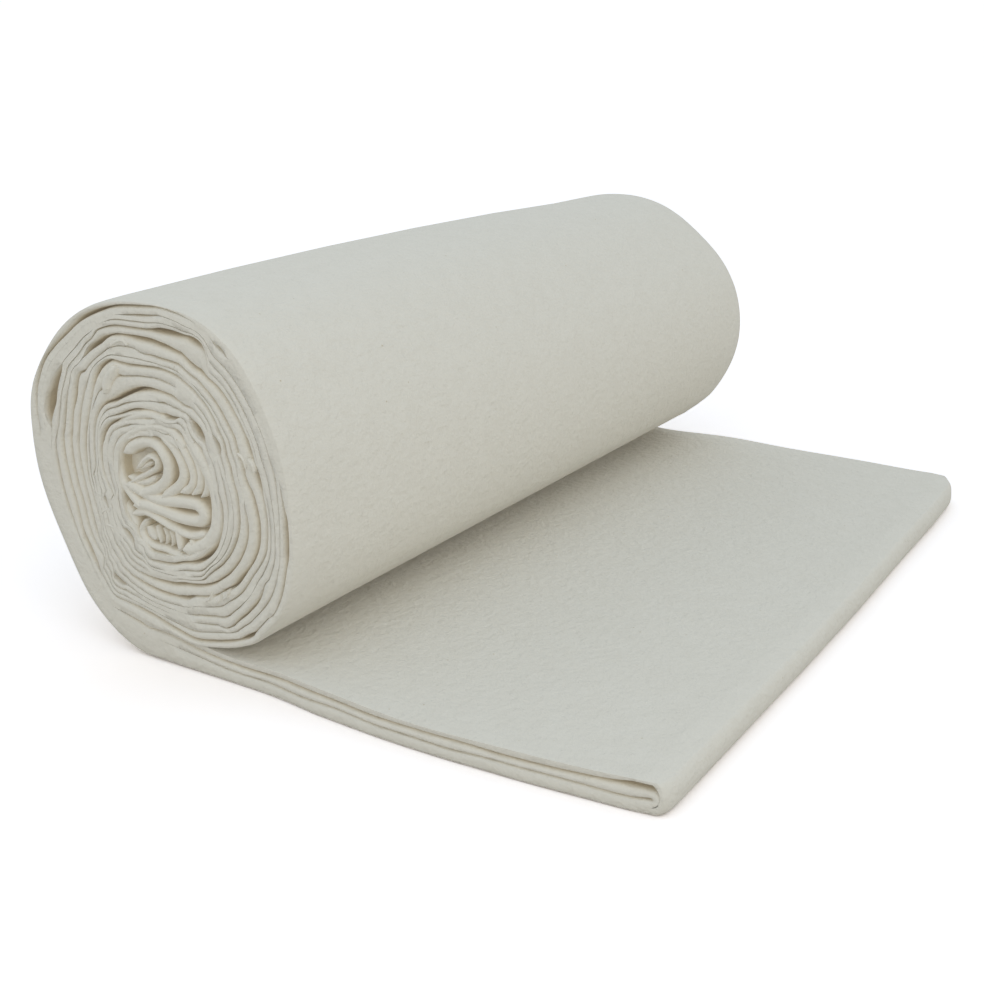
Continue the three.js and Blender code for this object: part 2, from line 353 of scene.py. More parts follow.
# the turns and radii of each seam, and the turn, width and half length in turns of its wider places
def placeSeams():
    placed = []
    for row in seams:
        turns, radii = turnAndRadius(row["route"])
        if turns[0] > turns[-1]:
            turns, radii = turns[::-1], radii[::-1]
        turns = turns - math.floor(turns[0]) + row["turn"]
        spots = []
        for x, z, width, half in row.get("wider", []):
            at, away = turnAndRadius((x, z))
            at = float(at[0]) + round((turns[0] + turns[-1]) / 2 - float(at[0]))
            spots.append((at, width, half * seamUnit / float(away[0]) / (2 * math.pi)))
        placed.append(dict(row, spots=spots, turns=turns, radii=radii, start=turns[0], end=turns[-1]))
    return placed


placedSeams = placeSeams()
print("seams", len(placedSeams))


# a seam's own opening along it: an even part, dying away at its ends as a power of a sine, and wider places
def seamOpening(row, at):
    u = np.clip((at - row["start"]) / (row["end"] - row["start"]), 0, 1)
    width = row["open"] * np.sin(math.pi * u) ** 0.6
    for place, extra, half in row["spots"]:
        width = width + extra * np.exp(-(((at - place) / half) ** 4))
    return width


# the whole turns that bring a face nearest to a seam, the seam's own turn there, and how far inside the
# seam's two ends that is, from 0 to 1
def alongSeam(row, turns):
    whole = np.round(turns - (row["start"] + row["end"]) / 2)
    at = turns - whole
    inside = np.clip(np.minimum(at - row["start"], row["end"] - at) / layers["seamFade"], 0, 1)
    return whole, at, inside


# how far a face of a layer moves so that the seams pass where they are placed and stand open there:
# a mean of the seams' own moves, each counting less by the square of the layers between,
# and a part of each opening either way
def seamShift(turns, face, layer):
    moved = np.zeros_like(turns)
    weights = np.full_like(turns, layers["still"])
    opened = np.zeros_like(turns)
    for row in placedSeams:
        whole, at, inside = alongSeam(row, turns)
        ends = easeInOut(inside)
        between = layerCount * whole + face - row["face"]
        weight = ends / (between**2 + layers["seamNear"])
        share = faceShare(row["face"], at)
        base = (1 - share) * windingRadius(at, -1.0) + share * windingRadius(at + 1, -1.0)
        moved = moved + weight * (smooth(row, "turns", "radii", at) - base)
        weights = weights + weight
        outside = layerCount * whole + layer + 0.5 < row["face"]
        part = np.where(outside, layers["openOutward"], layers["openOutward"] - 1)
        push = part * seamOpening(row, at) * (ends > 0)
        opened = opened + push * np.exp(-np.abs(between) / layers["openSpread"])
    free = easeInOut((turns - layers["freeFrom"]) / layers["freeOver"]) if face == 0 else 1.0
    return moved / weights * free, opened * free


# how round a face's cut edge is at its seam, from 0 where the two layers lie flush to 1
def seamOpenness(turns, face):
    openness = np.zeros_like(turns)
    for row in placedSeams:
        whole, at, inside = alongSeam(row, turns)
        own = np.abs(layerCount * whole + face - row["face"]) < 0.5
        opening = seamOpening(row, at)
        rounded = np.minimum(cutEdges["closed"] + opening / cutEdges["opening"], cutEdges["most"])
        gaping = np.clip((opening - cutEdges["gapingFrom"]) / cutEdges["gapingOver"], 0, 1)
        rounded = rounded - cutEdges["gapingLoss"] * gaping
        openness = np.maximum(openness, np.where(own, inside * rounded, 0))
    # the outermost turn lies flush, the turns inside it are a little rounded at their cut edges
    inward = np.clip((turns + face / layerCount - layers["insideFrom"]) / layers["insideOver"], 0, 1)
    uneven = layers["openWander"] * wander(turns * 500, 50 + face % layerCount, 90)
    least = layers["openLeast"] + inward * (layers["openInside"] + uneven)
    return np.clip(np.maximum(openness, least), 0, 1)


# how deep in the pack a face lies, from 0 outside to 1 inside, going from the loose end's share to the roll's
def faceShare(face, turns):
    if face in (0, layerCount):
        return np.full_like(turns, face / layerCount)
    ease = np.clip((turns - rootTurn) / layers["shareEase"], 0, 1)
    own = layers["share"][face] + layers["shareWander"] * wander(turns * 400, 10 + face, 160)
    return layers["looseShare"][face] * (1 - ease) + own * ease


# a point of the roll at that turn and radius, drifting sideways towards the far end and flat on the floor
def rollPoint(turns, radius, across):
    angle = np.radians(270.0 - 360.0 * turns)
    pack = winding["packThickness"] * (1 - winding["pressed"]) + winding["floorGap"]
    floorHeight = np.where(turns < winding["floorTurns"], 0.0, pack)
    x = radius * np.cos(angle) + winding["axisDrift"] * (across + 1) / 2
    return x, np.maximum(winding["axisHeight"] + radius * np.sin(angle), floorHeight)


# the radius of one face of a layer in the roll, with outer True for the side away from the axis: a share of
# the way between two turns, moved by the seams, and near the cut edge by their openings
def rollFace(face, layer, turns, across, outer):
    share = faceShare(face, turns)
    radius = (1 - share) * windingRadius(turns, across) + share * windingRadius(turns + 1, across)
    openness = seamOpenness(turns + face // layerCount, face % layerCount)
    half = (layers["gapClosed"] + (layers["gapOpen"] - layers["gapClosed"]) * openness) / 2
    moved, opened = seamShift(turns, face, layer)
    inset = (1 - np.abs(across)) * rollHalf
    flare = bell(inset, layers["flareDepth"] + layers["pocketDepth"] * np.abs(opened))
    if face == 0:
        radius = radius - layers["rimDrop"] * bell(inset, layers["rimDepth"]) * (turns < 1)
    return radius + moved + opened * flare + (-half if outer else half)


# a layer's outer and inner face in the roll as (x, z), and how round the cut edge of each is
def rollLayer(layer, turns, across):
    outer = rollFace(layer, layer, turns, across, True)
    inner = np.minimum(rollFace(layer + 1, layer, turns, across, False), outer - layers["thinnest"])
    openOuter = seamOpenness(turns, layer)
    if layer == 0:
        openOuter = np.where(turns < 1, layers["rimOpenness"], openOuter)
    openInner = seamOpenness(turns, layer + 1) if layer < layerCount - 1 else seamOpenness(turns + 1, 0)
    return rollPoint(turns, outer, across), rollPoint(turns, inner, across), openOuter, openInner


# the loose end, with each face's gap and rounding at its cut edges
loose = {
    "gaps": [0.0, -0.06, 0.1, 0.4, 0.0],
    "openness": [0.5, 0.03, 0.5, 0.85, 0.12],
    "shareWander": 0.05,
    "wanderLength": 110.0,
    "settle": 42.0,  # length over which the layers settle from the roll's heights to their own
    "holeLength": 22.0,  # the gap above layer 2 that opens towards the fold
    "holeEnd": 12.0,
    "holeLift": 2.6,
    "holeDrop": 0.4,
    "flatTo": 262.0,  # where the layers end and the folds begin
    "flatSteps": 92,
    "foldSteps": 15,
}


# a point of the loose end at that x, with the folded edge's form reached with the cube of the way towards it
def loosePlace(x, across):
    share = np.clip((x - winding["rootX"]) / (winding["reach"] - winding["rootX"]), 0, 1)
    drift = winding["axisDrift"] * (across + 1) / 2 * np.clip(1 - 2 * share, 0, 1)
    return x + share**3 * (smooth(foldedEdge, "across", "reach", across) - winding["reach"]) + drift


# the pack's thickness along the loose end, pressed down where the roll lies on it
def looseThickness(x):
    beyond, over = winding["pressedFade"]
    pressed = winding["pressed"] * easeInOut((winding["pressedTo"] + beyond - x) / over)
    return winding["packThickness"] * smooth(looseForm, "x", "fullness", x) * (1 - pressed)


# the height of a face in the loose end: a share of the thickness, with the gap that opens towards the fold
def looseHeight(face, x, upper):
    share = layers["looseShare"][face]
    if 0 < face < layerCount:
        share = share + loose["shareWander"] * wander(x, 60 + face, loose["wanderLength"])
    height = share * looseThickness(x)
    nearFold = np.clip(1 - (winding["reach"] - loose["holeEnd"] - x) / loose["holeLength"], 0, 1) ** 2
    if face == 3:
        height = height + (loose["holeLift"] if upper else -loose["holeDrop"]) * nearFold
    half = loose["gaps"][face] / 2
    return height + (half if upper else -half)


# a layer's lower and upper face in the loose end as (x, z), and how round the cut edge of each is:
# the faces leave the roll where they stand in it, and settle into the loose end's own heights by a bell
def looseLayer(layer, x, across):
    rootOuter, rootInner, openOuter, openInner = rollLayer(layer, np.array([[rootTurn]]), across)
    first = np.array([[winding["rootX"]]])
    settle = bell(x - winding["rootX"], loose["settle"])
    faces, openness = [], []
    for face, root, rootOpen in ((layer, rootOuter, openOuter), (layer + 1, rootInner, openInner)):
        above = face == layer  # the layer's lower face is the upper side of the gap under it
        faceX = loosePlace(x, across) + settle * (root[0] - loosePlace(first, across))
        z = looseHeight(face, x, above) + settle * (root[1] - looseHeight(face, first, above))
        faces.append((faceX, z))
        openness.append(loose["openness"][face] * (1 - settle) + rootOpen * settle)
    return *faces, *openness


# the fold's half ellipse from its lower to its upper run, at phi from -1 to 1
def foldFace(start, low, high, bulge, phi, across):
    x = start + bulge * np.cos(phi * math.pi / 2)
    beyond = np.maximum(x - winding["reach"], 0)
    z = (low + high) / 2 + (high - low) / 2 * np.sin(phi * math.pi / 2)
    return loosePlace(np.minimum(x, winding["reach"]), across) + beyond, z


# a fold's outer and inner face, and each one's rounding, from its lower run's to its upper run's by a cube
def foldRun(fold, phi, across):
    end = winding["reach"] - fold["setback"]
    outer = foldFace(end - fold["bulge"], *fold["outerRuns"], fold["bulge"], phi, across)
    start = end - fold["wall"] - fold["innerBulge"]
    inner = foldFace(start, *fold["innerRuns"], fold["innerBulge"], phi, across)
    rise = ((phi + 1) / 2) ** 3
    openness = [low * (1 - rise) + high * rise for low, high in (fold["outerOpen"], fold["innerOpen"])]
    return outer, inner, *openness


# how a cut edge is rounded: each a distance in from the edge and the section's height there
cutRounding = [(0.0, 0.05), (0.35, 0.36), (1.1, 0.66), (2.4, 0.88)]


# A strip's section across its width: each point's place across, from -1 at the near cut edge to 1 at the far
# one, and its height from -1 on the inner face to 1 on the outer.
def stripSection(insets, middle):
    rounding = cutRounding + [(inset, 1.0) for inset in insets]
    rows = [(inset / rollHalf - 1, height) for inset, height in rounding]
    rows += [(share, 1.0) for share in middle]
    rows += [(1 - inset / rollHalf, height) for inset, height in reversed(rounding)]
    back = [(across, -height) for across, height in reversed(rows)]
    table = np.array(rows + back)
    return table[:, 0][None, :], table[:, 1][None, :]


strip = {
    "taper": 4,  # rows of points over which an end thins, and how thin it gets
    "taperEnd": 0.25,
    "edgeSharpness": 20,  # how near the cut edge what stands proud is kept
    "creviceFrom": 0.2,  # a hidden face's crevice starts this far in and is full after creviceOver more
    "creviceOver": 5.0,
}


# A closed strip from its outer and inner face, each (x, z) over stations and section places. A point lies
# between the two faces by the section's height. The half width, the rounding and how hidden each face is are
# given at each station, and so is how far the cut edge stands proud.
def stripMesh(faces, openness, hiddenness, halfWidth, section, proud):
    across, height = section
    taper = strip["taper"]
    ends = np.ones(faces[0][0].shape[0])
    ends[:taper] = np.sin(np.linspace(strip["taperEnd"], 1, taper) * math.pi / 2)
    ends[-taper:] = ends[:taper][::-1]
    onOuter = height > 0
    rounding = (1 - np.abs(height)) * np.where(onOuter, *openness)
    height = np.sign(height) * (1 - rounding) * ends[:, None]
    x, z = [(outer + inner) / 2 + (outer - inner) / 2 * height for outer, inner in zip(*faces)]
    width = across * (halfWidth + proud * np.abs(across) ** strip["edgeSharpness"])
    inset = (1 - np.abs(across)) * rollHalf
    deep = np.clip((inset - strip["creviceFrom"]) / strip["creviceOver"], 0, 1)
    crevice = np.where(onOuter, *hiddenness) * deep
    grid = np.stack([x + axisX, width, z], axis=-1)
    rows, around = grid.shape[:2]
    index = np.arange(rows * around).reshape(rows, around)
    following = np.roll(index, -1, axis=1)
    quads = np.stack([index[:-1], index[1:], following[1:], following[:-1]], axis=-1).reshape(-1, 4)
    caps = [list(index[0]), list(index[-1][::-1])]
    return grid.reshape(-1, 3), quads, caps, (crevice + np.zeros((rows, around))).reshape(-1)


# several closed shells as one list of points in metres, each shell's faces counted on from the last one's
def joinShells(shells):
    offset = 0
    vertices, quads, caps, crevice = [], [], [], []
    for points, faces, ends, hidden in shells:
        vertices.append(points)
        crevice.append(hidden)
        quads.append(faces + offset)
        caps += [[int(i) + offset for i in cap] for cap in ends]
        offset += len(points)
    return np.concatenate(vertices) * mm, np.concatenate(quads), caps, np.concatenate(crevice)


# the turns of a layer's stations from the root in to its end, at equal lengths of cloth
def layerStations(end):
    turnsWound = (end - rootTurn) / winding["clothTurns"]
    count = int(round(winding["clothLength"] / layers["station"] * turnsWound))
    # the radius falls with the turns, so equal lengths of cloth need wider steps in turns further in
    turns = rootTurn + (end - rootTurn) * np.linspace(0, 1, count)
    steps = np.diff(turns) * 2 * math.pi * windingRadius(turns[:-1], -1.0)
    lengths = np.concatenate([[0], np.cumsum(steps)])
    return np.interp(np.linspace(0, lengths[-1], count), lengths, turns)[:, None]


# how far the cut edges stand in and out round the near face: three sines, as (size, rate by the turn, shift)
telescopeWaves = [(0.7, 2 * math.pi, 1.3), (0.5, 4 * math.pi, 0.4), (0.5, 1.7, 2.0)]


# A strip is two layers joined at their fold: out of the core as one layer, along the loose end, round the
# fold and back into the core as the other. Each run is its kind, its stations, and its faces with their
# rounding.
def buildStrip(firstLayer, secondLayer, section, fold, seed):
    across = section[0]
    outwards = layerStations(layers["ends"][firstLayer])[::-1]
    inwards = layerStations(layers["ends"][secondLayer])
    x = np.linspace(winding["rootX"], loose["flatTo"], loose["flatSteps"])[1:, None]
    phi = np.linspace(-1, 1, loose["foldSteps"])[1:-1, None]
    lower, upper, openLower, openUpper = looseLayer(secondLayer, x[::-1], across)
    outer, inner, openOuter, openInner = rollLayer(secondLayer, inwards, across)
    runs = [
        ("roll", outwards, rollLayer(firstLayer, outwards, across)),
        ("loose", x, looseLayer(firstLayer, x, across)),
        ("fold", np.full_like(phi, winding["reach"]), foldRun(fold, phi, across)),
        ("loose", x[::-1], (upper, lower, openUpper, openLower)),
        ("roll", inwards, (inner, outer, openInner, openOuter)),
    ]

    # one face's coordinate over all the stations, spread over the section's places
    def gather(side, axis):
        places = across.shape[1]
        return np.concatenate([np.broadcast_to(run[side][axis], (len(at), places)) for kind, at, run in runs])

    rootHalf = smooth(looseForm, "x", "halfWidth", winding["rootX"])
    outsideHidden = 0.0 if firstLayer == 0 else 1.0
    columns = []
    for k, (kind, at, run) in enumerate(runs):
        even = np.ones_like(at)
        if kind == "roll":
            widening = np.clip(1 - (at - rootTurn) / layers["widthEase"], 0, 1)
            # in the roll only the outside of the first layer's outermost turn shows
            hidden = np.where((at > 1.0) | (k > 0), 1.0, outsideHidden)
            telescoped = np.clip((at - rootTurn) / layers["telescopeOver"], 0, 1)
            columns.append((rollHalf + (rootHalf - rollHalf) * widening, hidden, telescoped, at))
        else:
            halfWidth = smooth(looseForm, "x", "halfWidth", at)
            columns.append((halfWidth, even * outsideHidden, even * 0, even * rootTurn))
    halfWidths, hidden, telescoped, turnsAlong = map(np.concatenate, zip(*columns))

    # neighbouring layers end almost flush, and all of them in or out together round the face
    together = sum(size * np.sin(rate * turnsAlong + shift) for size, rate, shift in telescopeWaves)
    along = np.arange(len(halfWidths))[:, None] * layers["station"]
    own = layers["telescopeOwn"] * wander(along, seed, layers["telescopeLength"])
    proud = (together + own) * layers["telescope"] * telescoped
    faces = [(gather(side, 0), gather(side, 1)) for side in (0, 1)]
    openness = [np.concatenate([run[side] for kind, at, run in runs]) for side in (2, 3)]
    return stripMesh(faces, openness, (hidden, np.ones_like(hidden)), halfWidths, section, proud)


# The two folds at the end of the loose end: how far each stops short of the edge, how far its outside and its
# inside bulge, its wall, the heights of its lower and upper run, and how round the cut edges are there.
foldHeight = float(looseThickness(np.array(270.0)))
outerFold = {
    "setback": 0.0,
    "bulge": 4.8,
    "wall": 2.1,
    "innerBulge": 6.0,
    "outerRuns": (0.0, foldHeight),
    "innerRuns": (3.4, foldHeight - 2.4),
    "outerOpen": (0.5, 0.12),
    "innerOpen": (0.03, 0.85),
}
innerFold = {
    "setback": 2.2,
    "bulge": 4.6,
    "wall": 4.0,
    "innerBulge": 1.2,
    "outerRuns": (3.5, 11.2),
    "innerRuns": (7.0, 7.6),
    "outerOpen": (0.03, 0.85),
    "innerOpen": (0.5, 0.5),
}
wideSection = stripSection([4.0, 9.0, 18.0], [-0.6, -0.25, 0.1, 0.45, 0.75])
plainSection = stripSection([4.0, 9.0, 18.0], [0.0])
outerStrip = buildStrip(0, 3, wideSection, outerFold, 71)
innerStrip = buildStrip(1, 2, plainSection, innerFold, 72)
print("strips of cloth", len(outerStrip[0]) + len(innerStrip[0]), "points")

# The middle of the roll is bunched cloth: strips with their own thickness, each along a smooth route, both in
# seamUnit. How far each stands proud of the roll's end is in millimetres.
coreFolds = [
    # cloth behind the folds, so that the gaps between them are shallow
    {"thick": 0.74, "proud": -7.5, "route": [(0.02, 0.8), (0.03, 1.1), (0.02, 1.38)]},
    # the two turns that close in round the middle
    {"thick": 0.058, "proud": -0.2, "route": [
        (0.1, 1.475), (-0.02, 1.495), (-0.17, 1.455), (-0.3, 1.375), (-0.385, 1.27), (-0.4, 1.15),
        (-0.365, 1.03), (-0.3, 0.935), (-0.235, 0.865), (-0.2, 0.8),
    ]},
    {"thick": 0.068, "proud": 0.3, "route": [
        (0.22, 1.35), (0.12, 1.425), (-0.03, 1.425), (-0.17, 1.37), (-0.275, 1.285), (-0.315, 1.18),
        (-0.3, 1.08), (-0.235, 1.0), (-0.15, 0.945),
    ]},
    # the hook and the curl inside it
    {"thick": 0.076, "proud": 0.5, "route": [
        (-0.235, 1.245), (-0.15, 1.305), (-0.05, 1.333), (0.03, 1.305), (0.072, 1.235), (0.06, 1.15),
        (0.0, 1.085), (-0.07, 1.045), (-0.15, 1.015),
    ]},
    {"thick": 0.038, "proud": -0.6, "route": [
        (-0.155, 1.165), (-0.11, 1.215), (-0.055, 1.25), (-0.012, 1.235), (-0.02, 1.192), (-0.08, 1.15),
        (-0.15, 1.11), (-0.21, 1.075),
    ]},
    {"thick": 0.034, "proud": -1.6, "route": [(-0.13, 1.165), (-0.09, 1.195), (-0.05, 1.215)]},
    {"thick": 0.05, "proud": -1.2, "route": [(-0.24, 1.1), (-0.17, 1.075), (-0.1, 1.09), (-0.03, 1.13)]},
    # the turns to the right of the hook
    {"thick": 0.07, "proud": 0.1, "route": [
        (0.04, 1.395), (0.12, 1.335), (0.175, 1.26), (0.185, 1.185), (0.145, 1.12), (0.08, 1.07),
        (0.02, 1.03),
    ]},
    {"thick": 0.06, "proud": 0.3, "route": [
        (0.16, 1.4), (0.215, 1.32), (0.245, 1.24), (0.25, 1.17), (0.22, 1.115), (0.165, 1.085),
    ]},
    {"thick": 0.05, "proud": -0.2, "route": [
        (0.23, 1.37), (0.285, 1.28), (0.305, 1.2), (0.29, 1.13), (0.25, 1.09),
    ]},
    {"thick": 0.045, "proud": -0.4, "route": [(0.345, 1.25), (0.355, 1.18), (0.34, 1.12), (0.31, 1.085)]},
    {"thick": 0.095, "proud": 0.4, "route": [
        (0.22, 1.43), (0.29, 1.345), (0.355, 1.25), (0.4, 1.14), (0.41, 1.02), (0.39, 0.91), (0.325, 0.82),
        (0.24, 0.77), (0.16, 0.75),
    ]},
    # the tongue across the middle, folded back on itself
    {"thick": 0.08, "proud": 0.2, "route": [
        (-0.24, 1.06), (-0.13, 1.02), (-0.03, 1.004), (0.09, 1.015), (0.2, 1.027), (0.27, 1.024),
        (0.312, 0.985), (0.285, 0.942), (0.21, 0.928), (0.11, 0.93), (0.0, 0.945), (-0.1, 0.955),
        (-0.2, 0.94),
    ]},
    # the cloth under the tongue
    {"thick": 0.054, "proud": 0.0, "route": [
        (-0.22, 0.885), (-0.12, 0.91), (0.0, 0.885), (0.11, 0.85), (0.22, 0.84), (0.32, 0.87),
    ]},
    # the small cup and its creases
    {"thick": 0.052, "proud": -0.1, "route": [
        (-0.12, 0.865), (-0.165, 0.8), (-0.14, 0.745), (-0.08, 0.715), (0.0, 0.715), (0.07, 0.705),
        (0.14, 0.71),
    ]},
    {"thick": 0.09, "proud": -0.5, "route": [(-0.11, 0.83), (-0.095, 0.79), (-0.055, 0.765)]},
    {"thick": 0.04, "proud": -0.3, "route": [(-0.04, 0.85), (-0.03, 0.8), (-0.015, 0.755)]},
    {"thick": 0.03, "proud": -0.4, "route": [(0.015, 0.85), (0.03, 0.805), (0.02, 0.755)]},
    {"thick": 0.03, "proud": -0.6, "route": [(0.06, 0.84), (0.07, 0.8), (0.06, 0.75)]},
    {"thick": 0.052, "proud": 0.2, "route": [(0.11, 0.86), (0.12, 0.8), (0.125, 0.735)]},
    {"thick": 0.05, "proud": 0.1, "route": [(0.21, 0.82), (0.22, 0.79), (0.205, 0.76)]},
    # hairpins and creases further out
    {"thick": 0.032, "proud": 0.6, "route": [
        (-0.29, 1.835), (-0.235, 1.87), (-0.18, 1.885), (-0.145, 1.865),
    ]},
    {"thick": 0.08, "proud": 1.5, "route": [(-0.345, 1.57), (-0.32, 1.64), (-0.275, 1.7), (-0.235, 1.73)]},
    {"thick": 0.04, "proud": 0.9, "route": [(0.3, 0.475), (0.335, 0.5), (0.35, 0.54)]},
    {"thick": 0.04, "proud": 0.9, "route": [(0.365, 0.475), (0.405, 0.51), (0.42, 0.55)]},
    {"thick": 0.04, "proud": 0.7, "route": [(0.43, 0.515), (0.465, 0.55), (0.475, 0.585)]},
    {"thick": 0.04, "proud": 0.8, "route": [
        (-0.455, 0.845), (-0.415, 0.875), (-0.365, 0.87), (-0.34, 0.835),
    ]},
    {"thick": 0.042, "proud": 0.7, "route": [
        (-0.42, 0.785), (-0.365, 0.775), (-0.315, 0.8), (-0.295, 0.845),
    ]},
    {"thick": 0.04, "proud": 0.3, "route": [(0.595, 1.385), (0.63, 1.36), (0.65, 1.315)]},
    {"thick": 0.04, "proud": 0.4, "route": [(0.665, 1.37), (0.695, 1.34), (0.705, 1.3)]},
    {"thick": 0.055, "proud": 0.6, "route": [(0.225, 1.41), (0.24, 1.465), (0.27, 1.515)]},
    {"thick": 0.05, "proud": 0.6, "route": [(0.4, 1.38), (0.405, 1.43), (0.4, 1.48)]},
]

coreCloth = {"station": 1.1, "fewestStations": 6, "proudWander": 0.6, "wanderLength": 60.0}


# a strip of even thickness along a route: its two faces are the route's smooth line, offset to either side
def foldStrip(row, section, seed):
    route = np.array(row["route"]) * seamUnit
    legs = np.concatenate([[0], np.cumsum(np.hypot(*np.diff(route, axis=0).T))])
    table = {"at": legs, "x": route[:, 0], "z": route[:, 1]}
    at = np.linspace(0, legs[-1], max(int(legs[-1] / coreCloth["station"]), coreCloth["fewestStations"]))
    x = smooth(table, "at", "x", at)
    z = smooth(table, "at", "z", at)
    slopeX, slopeZ = np.gradient(x), np.gradient(z)
    steepness = np.hypot(slopeX, slopeZ)
    half = row["thick"] * seamUnit / 2
    drift = winding["axisDrift"] * (section[0] + 1) / 2
    faces = []
    for side in (half, -half):
        offsetX = x - slopeZ / steepness * side
        offsetZ = z + slopeX / steepness * side
        faces.append((offsetX[:, None] + drift, offsetZ[:, None]))
    even = np.ones((len(at), 1))
    proud = wander(at[:, None], seed, coreCloth["wanderLength"]) * coreCloth["proudWander"] + row["proud"]
    return stripMesh(faces, (even, even), (even, even), even * rollHalf, section, proud)


# a new object in the scene
def addObject(name, data):
    made = bpy.data.objects.new(name, data)
    bpy.context.collection.objects.link(made)
    return made


# a mesh object of joined shells, with how far each point is hidden between layers as its own attribute, the
# mask for the felt's painted crevice shade and painted glow
def shellObject(name, shells):
    vertices, quads, caps, crevice = joinShells(shells)
    mesh = bpy.data.meshes.new(name)
    mesh.from_pydata(vertices.tolist(), [], quads.tolist() + caps)
    mesh.polygons.foreach_set("use_smooth", np.ones(len(mesh.polygons), bool))
    mesh.set_sharp_from_angle(angle=math.radians(75))
    mesh.attributes.new("crevice", "FLOAT", "POINT").data.foreach_set("value", crevice.astype(np.float32))
    mesh.update()
    print(name, len(mesh.vertices), "points", sum(len(p.vertices) - 2 for p in mesh.polygons), "triangles")
    return addObject(name, mesh)


foldSection = stripSection([4.0], [0.0])
batting = shellObject("batting", [outerStrip, innerStrip])
core = shellObject("core_folds", [foldStrip(row, foldSection, 90 + k) for k, row in enumerate(coreFolds)])

# Needled cotton: a faint cloudy mottle, sparse darker seed flecks and short fibres in relief, with painted
# shade in the crevices, a warm brown in place of their shadow, and a faint painted glow there in place of
# light coming through. The names are the group's inputs.
feltLook = {
    "Light": (0.745, 0.708, 0.625, 1),
    "Dark": (0.730, 0.692, 0.608, 1),
    "Fleck": (0.56, 0.49, 0.36, 1),
    # painted shade: the warm brown deep in the crevices, standing in for their shadow
    "Painted Crevice Shade": (0.47, 0.375, 0.22, 1),
    # painted light: the glow the crevices give off, standing in for light through the cloth
    "Painted Glow": (0.058, 0.055, 0.045, 1),
    "Mottle Scale": 95.0,
    "Fibre Scale": 620.0,
    "Lump Scale": 230.0,
}
# where each pattern starts and is full, and its own sizes
feltPattern = {
    "mottle": (0.35, 0.68),
    "mottleDetail": 4.0,
    "fleckScale": 150.0,
    "fleckSize": (0.10, 0.04),
    "fleckRarity": (0.58, 0.66),
    "fleckDetail": 2.0,
    # where the painted crevice shade and the painted crevice glow start and are full, on the crevice
    # attribute
    "paintedShadeSpan": (0.18, 1.0),
    "paintedGlowSpan": (0.0, 0.3),
    "fibreStretch": (1.0, 0.45, 1.0),
    "fibreShare": 0.35,  # of the relief, against the lumps
    "reliefDetail": 3.0,
    "reliefStrength": 1.0,
    "reliefDepth": 0.0010,
}
feltSurface = {
    "Roughness": 0.96,
    "Specular IOR Level": 0.2,
    "Sheen Weight": 0.12,
    "Sheen Roughness": 0.6,
    # how strongly the painted crevice glow shines
    "Emission Strength": 1.0,
}


# a material with its nodes and its surface shader
def newMaterial(name):
    material = bpy.data.materials.new(name)
    material.use_nodes = True
    return material, material.node_tree, material.node_tree.nodes["Principled BSDF"]


# a mix from one colour to another by a share, where each colour is a socket or a plain value
def colorMix(tree, share, first, second):
    node = tree.nodes.new("ShaderNodeMix")
    node.data_type = "RGBA"
    tree.links.new(share, node.inputs["Factor"])
    for socket, color in ((node.inputs[6], first), (node.inputs[7], second)):  # its colour inputs
        if isinstance(color, tuple):
            socket.default_value = color
        else:
            tree.links.new(color, socket)
    return node.outputs[2]
